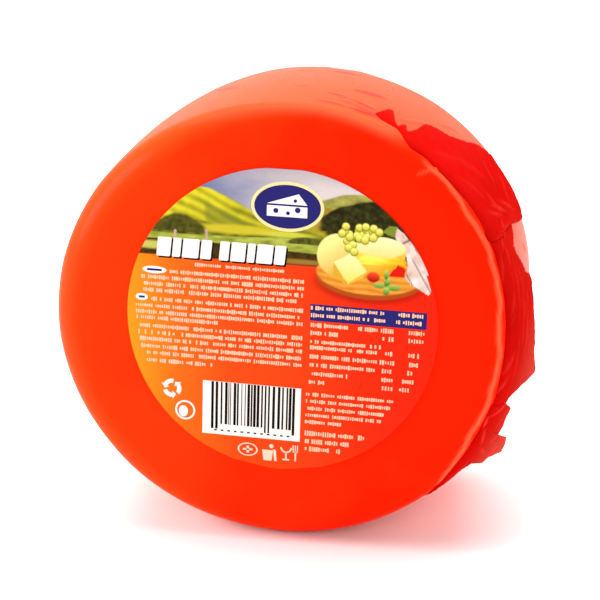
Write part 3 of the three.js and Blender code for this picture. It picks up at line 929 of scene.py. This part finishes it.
def finish_paper(tree, output, place, colour, mottle):
    """Ends a material as coated label paper with a printed colour."""
    paper = use_group(tree, FINE_GRAIN, {
        "Place": place, "Scale": 900.0, "Detail": 3.0, "Unevenness": 0.6,
        "Smoothest": 0.38, "Roughest": 0.55, "Bump": 0.15, "Depth": 0.04 * MM,
    })
    printed = use_group(tree, PRINT_MOTTLE, {
        "Colour": colour, "Grain": paper["Grain"], "Darkest": 1 - mottle, "Palest": 1 + mottle,
    })
    finish_material(tree, output, {
        "Base Color": printed["Colour"], "Roughness": paper["Roughness"],
        "Specular IOR Level": 0.04, "Normal": paper["Normal"],
    })


def printed_paper():
    material, tree, output, place = new_material("printed_paper")
    printed = node(tree, "ShaderNodeAttribute", {"attribute_name": "print"})
    finish_paper(tree, output, place, printed.outputs["Color"], 0.06)
    return material


def ink_material(name, code):
    material, tree, output, place = new_material(name)
    finish_paper(tree, output, place, (*ink(code), 1), 0.05)
    return material


label_base = make_label_base()
label_base.data.materials.append(printed_paper())
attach(label_base, "root")
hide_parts("face_label")


# ---- Label print ----------------------------------------------------------------------------
# The layers of ink over the label's picture: an oval seal, a headline of plain blocks, a bar
# code box, care and recycling signs, and the navy heading of the food table.

INK_DEPTH = 0.015
LOW_LAYER, TOP_LAYER, MARK_LAYER, EYE_LAYER = 0.02, 0.04, 0.06, 0.08


def swung(u, w, reach, turn, squash=1.0):
    """A place at a reach and an angle from another."""
    return u + reach * math.cos(turn), w + squash * reach * math.sin(turn)


class InkLayer:
    """Flat printed shapes of one ink, each a thin closed slab."""

    def __init__(self, name, code):
        self.name, self.code = name, code
        self.points, self.faces = [], []

    def shape(self, outline, raised=TOP_LAYER):
        """A slab with this outline of (right, up) points, counter-clockwise."""
        count, size = len(self.points), len(outline)
        us, ws = zip(*outline)
        for height in (raised, raised - INK_DEPTH):
            self.points += list(label_points(us, ws, height))
        self.faces.append(tuple(range(count, count + size)))
        self.faces.append(tuple(range(count + 2 * size - 1, count + size - 1, -1)))
        for i in range(size):
            after = (i + 1) % size
            self.faces.append((count + after, count + i, count + size + i, count + size + after))

    def block(self, left, low, right, high, raised=TOP_LAYER):
        self.shape([(left, low), (right, low), (right, high), (left, high)], raised)

    def oval(self, u, w, ru, rw, raised=TOP_LAYER, sides=48):
        turns = [math.tau * i / sides for i in range(sides)]
        self.shape([(u + ru * math.cos(t), w + rw * math.sin(t)) for t in turns], raised)

    def arc(self, u, w, outer, inner, start, end, raised=TOP_LAYER, squash=1.0):
        """Part of a ring, from one angle to another in degrees, as short slabs."""
        turns = np.radians(np.linspace(start, end, max(3, int(abs(end - start) / 12))))
        for a, b in zip(turns, turns[1:]):
            corners = ((outer, a), (outer, b), (inner, b), (inner, a))
            self.shape([swung(u, w, reach, turn, squash) for reach, turn in corners], raised)

    def piece(self):
        made = mesh_object(self.name, self.points, self.faces, smooth=False)
        made.data.materials.append(ink_material(self.name, self.code))
        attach(made, "root")


white_ink = InkLayer("label_white_ink", "fff6ee")
navy_ink = InkLayer("label_navy_ink", "28246c")
black_ink = InkLayer("label_black_ink", "1a1210")
cream_ink = InkLayer("label_cream_ink", "f3e3a2")
pale_ink = InkLayer("label_pale_ink", "ffdcc0")

# The seal: a cream oval, a navy field and a plain wedge of cheese.
SEAL_U, SEAL_W = 1.7, 36.8
cream_ink.oval(SEAL_U, SEAL_W, 11.4, 7.9, LOW_LAYER)
navy_ink.oval(SEAL_U, SEAL_W, 10.4, 6.9)
WEDGE_SIDE = ((-6.4, -3.2), (6.2, -3.2), (6.2, 0.2), (-6.4, 0.2))
WEDGE_TOP = ((-6.4, 0.8), (6.2, 0.8), (3.4, 4.2))
for side in (WEDGE_SIDE, WEDGE_TOP):
    white_ink.shape([(SEAL_U + u, SEAL_W + w) for u, w in side], MARK_LAYER)
for eye_u, eye_w, eye_r in ((-3.6, -1.4, 0.8), (0.2, -2, 0.6), (3.2, -0.9, 0.9), (2.4, 2, 0.55)):
    navy_ink.oval(SEAL_U + eye_u, SEAL_W + eye_w, eye_r, eye_r, EYE_LAYER, sides=20)

# The headline: plain white blocks with a dark shadow, in two groups.
HEADLINE_LOW, HEADLINE_HIGH, SHADOW_SHIFT = 18.1, 24.3, 0.55
BLOCK_LEAN, BLOCK_CORNER = 0.5, 0.3
headline_u = -39.6
for width, gap in ((4.4, 0.6), (2.6, 0.6), (5.2, 0.6), (3.4, 2.6),
                   (3.0, 0.6), (4.6, 0.6), (2.4, 0.6), (5.0, 0.6), (3.4, 0.6)):
    low_right = headline_u + width
    high_left, high_right = headline_u + BLOCK_LEAN, low_right + BLOCK_LEAN
    letter_block = [
        (headline_u + BLOCK_CORNER, HEADLINE_LOW), (low_right - BLOCK_CORNER, HEADLINE_LOW),
        (low_right, HEADLINE_LOW + BLOCK_CORNER), (high_right, HEADLINE_HIGH - BLOCK_CORNER),
        (high_right - BLOCK_CORNER, HEADLINE_HIGH), (high_left + BLOCK_CORNER, HEADLINE_HIGH),
        (high_left, HEADLINE_HIGH - BLOCK_CORNER), (headline_u, HEADLINE_LOW + BLOCK_CORNER),
    ]
    white_ink.shape(letter_block)
    black_ink.shape([(u + SHADOW_SHIFT, w - SHADOW_SHIFT) for u, w in letter_block], LOW_LAYER)
    headline_u += width + gap

# The bar code: a pale box, bars of random widths and a row of ticks where its figures would be.
BAR_LEFT, BAR_RIGHT, BAR_TOP, BAR_LOW = -21.4, 5.2, -22.1, -36.4
BAR_UNIT, GUARD_DROP, BAR_SEED = 0.28, 1.7, 7
white_ink.block(-24.2, -40, 7.6, -22, LOW_LAYER)
draw = np.random.default_rng(BAR_SEED)
bar_u, bar_number = BAR_LEFT, 0
while bar_u < BAR_RIGHT:
    bar_width = BAR_UNIT * draw.integers(1, 4)
    guard = bar_number in (0, 1, 15, 16) or bar_u > BAR_RIGHT - 1
    black_ink.block(bar_u, BAR_LOW - GUARD_DROP * guard, bar_u + bar_width, BAR_TOP)
    bar_u += bar_width + BAR_UNIT * draw.integers(1, 4)
    bar_number += 1
for tick in range(12):
    tick_u = BAR_LEFT + 1.1 + tick * 2.15
    black_ink.block(tick_u, -38.8, tick_u + 0.9, -38.3)

# Recycling loop and ring at the lower left.
LOOP_U, LOOP_W = -34.3, -25.6
for start in (80, 200, 320):
    white_ink.arc(LOOP_U, LOOP_W, 3.1, 1.7, start, start + 78)
    arrow = ((3.8, start + 74), (2.4, start + 104), (1.0, start + 74))
    white_ink.shape([swung(LOOP_U, LOOP_W, reach, math.radians(turn)) for reach, turn in arrow])
RING_U, RING_W = -29.9, -32.7
white_ink.arc(RING_U, RING_W, 3.3, 2.7, 0, 360)
white_ink.oval(RING_U - 0.6, RING_W - 0.4, 1.5, 1.9)

# Three signs under the bar code: a mark in an oval, a litter bin, and a cup with a fork.
pale_ink.arc(-9.2, -44.2, 3.3, 2.8, 0, 360, squash=0.68)
for cross_bar in ((-10.8, -44.5, -7.6, -43.9), (-9.6, -45.4, -8.8, -43)):
    pale_ink.block(*cross_bar)
pale_ink.shape([(-4.0, -47.4), (-1.4, -47.4), (-0.9, -43.8), (-4.5, -43.8)])
pale_ink.oval(-1.5, -42.4, 0.7, 0.7, sides=16)
pale_ink.shape([(-0.5, -47.4), (0.3, -47.4), (0.0, -43.6), (-0.9, -43.4)])
pale_ink.arc(3.3, -42.4, 1.9, 1.4, 180, 360)
for cup_or_fork in ((3.05, -46.4, 3.55, -44), (2.2, -46.8, 4.4, -46.3), (6.1, -46.8, 6.6, -43.4)):
    pale_ink.block(*cup_or_fork)
for prong_u in (5.4, 6.1, 6.8):
    pale_ink.block(prong_u, -43.6, prong_u + 0.35, -41.4)
pale_ink.block(5.4, -43.9, 7.15, -43.4)

# The food table's navy heading and the two pale ovals beside the text.
navy_ink.block(9.7, 0.9, 46.2, 6.3, LOW_LAYER)
white_ink.oval(-40.2, 13.4, 3.9, 1.2)
white_ink.oval(-44.3, 4.2, 2, 1.15, sides=32)
navy_ink.block(-42.6, 13.05, -37.8, 13.75, MARK_LAYER)
navy_ink.block(-45.3, 3.85, -43.3, 4.55, MARK_LAYER)

for layer in (white_ink, navy_ink, black_ink, cream_ink, pale_ink):
    layer.piece()


# ---- Label text -----------------------------------------------------------------------------
# Small print, shown as rows of plain blocks that spell nothing. A node tree walks along each
# row, leaves gaps between words and gives every block its own width and height.

BLOCK_PITCH, PRINTED_SHARE, BLOCK_SEED = 0.7, 0.88, 11
# Rows of blocks: left end, height on the label and right end, then the blocks' height.
BODY_ROWS = (
    (-27, 16.1, 0.8, 1.1),
    (-35, 13.2, 7.2, 1.3), (-44.2, 11, 7.2, 1.3), (-44, 8.8, 7, 1.3), (-43.6, 6.7, 5, 1.3),
    (-41, 3.8, 7.2, 1.3), (-46, 1.5, 6.8, 1.3), (-46, -0.6, 7.2, 1.3), (-45.8, -2.5, -19.2, 1.3),
    (-45.3, -5.2, 7.2, 1.3), (-45.2, -7.4, 7.2, 1.3), (-44.6, -9.6, 7.2, 1.3),
    (-44.2, -12, 7, 1.3), (-43, -14.2, 7.2, 1.3), (-42.4, -16.7, -21.5, 1.3),
    (10.3, -0.5, 21.5, 1.4), (25.2, -0.5, 35.8, 1.4), (41, -0.5, 45.4, 1.4),
    (10.3, -3.1, 18.4, 1.4), (33, -3.1, 35.8, 1.4), (41, -3.1, 45.2, 1.4),
    (10.3, -6, 32, 1.2), (10.3, -7.9, 31.5, 1.2), (34, -7.9, 36.4, 1.4), (41.2, -7.9, 44, 1.4),
    (10.3, -10.9, 31, 1.3), (32.4, -10.9, 36.4, 1.4), (41.6, -10.9, 43.8, 1.4),
    (10.3, -13.7, 30.4, 1.3), (32.4, -13.7, 36.4, 1.4), (41.2, -13.7, 43.2, 1.4),
    (10.3, -16.6, 21.9, 1.3), (33.2, -16.6, 36.2, 1.4), (39.7, -16.6, 42.7, 1.4),
    (10.3, -19.4, 14.6, 1.3), (33.4, -19.4, 36.2, 1.4), (38.1, -19.4, 41.4, 1.4),
    (9.4, -23.6, 36.6, 1.2), (9.4, -25.9, 35.8, 1.2), (10, -28.3, 33.8, 1.2),
    (9.4, -30.6, 33, 1.2), (9.4, -32.9, 21.9, 1.2),
    (9.4, -36.8, 28, 1.6), (9.6, -39.5, 23.8, 1.5), (9.6, -42.1, 20.4, 1.5),
    (10.2, 5.1, 32.6, 1.3), (10.2, 2.7, 33, 1.3), (36.9, 5.1, 44.8, 1.3), (36.9, 2.7, 45, 1.3),
)


def text_rows_tree(material):
    """Blocks along the rows: even places, a share left out as gaps, random widths and heights."""
    tree, given, result = new_group("rows_of_small_print", "GeometryNodeTree", {
        "Rows": "Geometry", "Pitch": "Float", "Thickness": "Float", "Printed share": "Float",
        "Seed": "Int",
    }, {"Print": "Geometry"})
    curve = node(tree, "GeometryNodeMeshToCurve", inputs={"Mesh": given["Rows"]})
    places = node(tree, "GeometryNodeResampleCurve", {"mode": "LENGTH"}, {
        "Curve": curve.outputs["Curve"], "Length": given["Pitch"],
    })
    keep = node(tree, "FunctionNodeRandomValue", {"data_type": "BOOLEAN"}, {
        "Probability": given["Printed share"], "Seed": given["Seed"],
    })
    size = node(tree, "FunctionNodeRandomValue", {"data_type": "FLOAT_VECTOR"}, {
        "Min": (0.5, 0.6, 1), "Max": (0.95, 1.15, 1), "Seed": given["Seed"],
    })
    height = node(tree, "GeometryNodeInputNamedAttribute", {"data_type": "FLOAT"}, {
        "Name": "block_height",
    })
    proportions = node(tree, "ShaderNodeCombineXYZ", inputs={
        "X": given["Pitch"], "Y": height.outputs["Attribute"], "Z": given["Thickness"],
    })
    scale = node(tree, "ShaderNodeVectorMath", {"operation": "MULTIPLY"}, {
        0: size.outputs["Value"], 1: proportions.outputs["Vector"],
    })
    placed = node(tree, "GeometryNodeInstanceOnPoints", inputs={
        "Points": places.outputs["Curve"], "Selection": keep.outputs["Value"],
        "Instance": node(tree, "GeometryNodeMeshCube").outputs["Mesh"],
        "Rotation": (math.pi / 2, -LABEL_TURN, 0), "Scale": scale.outputs["Vector"],
    })
    real = node(tree, "GeometryNodeRealizeInstances", inputs={
        "Geometry": placed.outputs["Instances"],
    })
    inked = node(tree, "GeometryNodeSetMaterial", inputs={
        "Geometry": real.outputs["Geometry"], "Material": material,
    })
    tree.links.new(inked.outputs["Geometry"], result.inputs["Print"])
    return tree


def make_label_text(material):
    left, up, right, high = (np.array(column) for column in zip(*BODY_ROWS))
    points = np.stack([label_points(side, up, TOP_LAYER) for side in (left, right)], 1)
    edges = [(2 * i, 2 * i + 1) for i in range(len(left))]
    mesh = bpy.data.meshes.new("rows")
    mesh.from_pydata([tuple(p) for p in points.reshape(-1, 3)], edges, [])
    layer = mesh.attributes.new("block_height", "FLOAT", "POINT")
    layer.data.foreach_set("value", np.repeat(high * MM, 2))
    rows = new_object("rows", mesh)
    tree = text_rows_tree(material)
    modifier = rows.modifiers.new("small print", "NODES")
    modifier.node_group = tree
    values = {
        "Pitch": BLOCK_PITCH * MM, "Thickness": INK_DEPTH * MM, "Printed share": PRINTED_SHARE,
        "Seed": BLOCK_SEED,
    }
    for socket in tree.interface.items_tree:
        if socket.name in values:
            modifier[socket.identifier] = values[socket.name]
    evaluated = rows.evaluated_get(bpy.context.evaluated_depsgraph_get())
    text = new_object("label_small_print", bpy.data.meshes.new_from_object(evaluated))
    bpy.data.objects.remove(rows)
    return text


label_text = make_label_text(ink_material("small_print_ink", "ffc8a4"))
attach(label_text, "root")


# ---- Floor and light ------------------------------------------------------------------------
# A plain near-white table under one broad overhead softbox, with a key light on the left and a
# weaker light in front, in a pale room.

FLOOR_HALF = 4.0


def make_floor():
    corners = [(x * FLOOR_HALF, y * FLOOR_HALF, 0) for x, y in ((-1, -1), (1, -1), (1, 1), (-1, 1))]
    floor = mesh_object("floor", corners, [(0, 1, 2, 3)], smooth=False)
    material, tree, output, _ = new_material("pale_table")
    finish_material(tree, output, {"Base Color": (0.93, 0.93, 0.93, 1), "Roughness": 0.9})
    floor.data.materials.append(material)


def softbox(name, place, size, watts):
    light = bpy.data.lights.new(name, "AREA")
    light.shape = "RECTANGLE"
    light.size, light.size_y = size
    light.energy = watts
    aim(new_object(name, light), place, Vector((0, 0, 70 * MM)))


ROOM_BEHIND = 1.5
ROOM_IN_FRONT = 0.3


def make_world():
    """A pale room, brighter behind the object than in front of it."""
    world = bpy.data.worlds.new("pale_room")
    world.use_nodes = True
    tree = world.node_tree
    direction = node(tree, "ShaderNodeTexCoord")
    axes = node(tree, "ShaderNodeSeparateXYZ", inputs={"Vector": direction.outputs["Generated"]})
    strength = spread(tree, axes.outputs["Y"], ROOM_IN_FRONT, ROOM_BEHIND, -0.6, 0.6, "SMOOTHSTEP")
    background = tree.nodes["Background"]
    background.inputs["Color"].default_value = (1, 1, 1, 1)
    tree.links.new(strength, background.inputs["Strength"])
    bpy.context.scene.world = world
    bpy.context.scene.view_settings.view_transform = "Standard"


make_floor()
make_world()
softbox("overhead", (-0.05, 0.2, 0.8), (0.9, 0.7), 9.5)
softbox("key", (-0.95, -0.22, 0.42), (0.5, 0.6), 9)
softbox("front", (0.25, -1.1, 0.5), (0.9, 0.7), 5)
